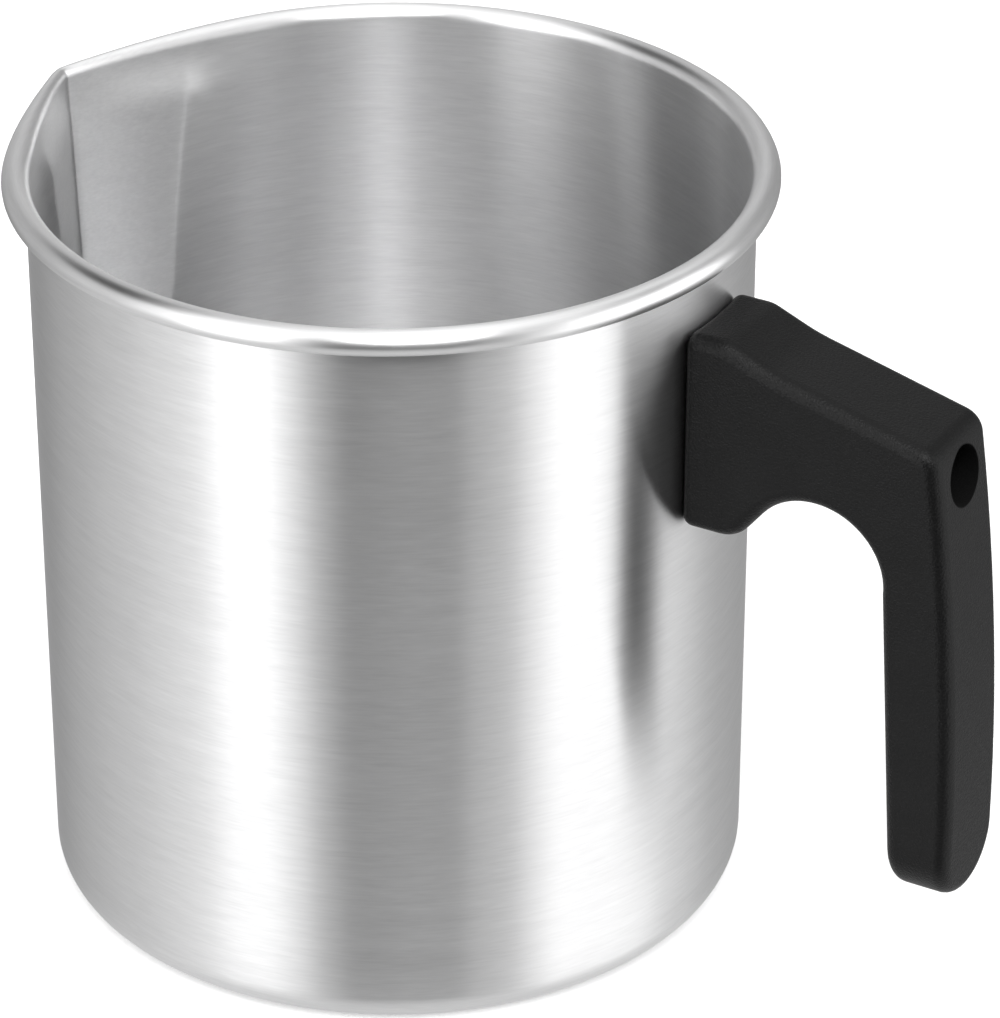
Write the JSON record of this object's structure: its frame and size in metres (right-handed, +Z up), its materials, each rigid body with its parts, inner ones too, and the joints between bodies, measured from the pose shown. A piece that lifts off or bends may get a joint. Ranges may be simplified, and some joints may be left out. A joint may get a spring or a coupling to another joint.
{
  "type": "candle melting pot",
  "caption": "Spun aluminium candle melting pot with a rolled rim, a pressed V-shaped pouring spout and a black moulded handle bolted to the wall.",
  "frame": {"origin": "centre of the pot's flat base, on the surface it stands on", "axes": "+Z up along the pot's axis, +X out through the handle; the spout is 4.3 degrees off the side opposite the handle"},
  "size_m": [0.1738, 0.124, 0.1278],
  "materials": {
    "spun_aluminium": "brushed around the axis, satin",
    "black_plastic": "fine moulded grain, matte",
    "mild_steel": "rolled bar, bright",
    "zinc_plated": "zinc plated"
  },
  "bodies": {
    "root": {"pot_body": "spun_aluminium", "handle": "black_plastic", "handle_bracket": "mild_steel", "bracket_nut": "zinc_plated", "flat_washer": "zinc_plated", "spring_washer": "zinc_plated", "handle_screw": "zinc_plated"}
  },
  "joints": []
}
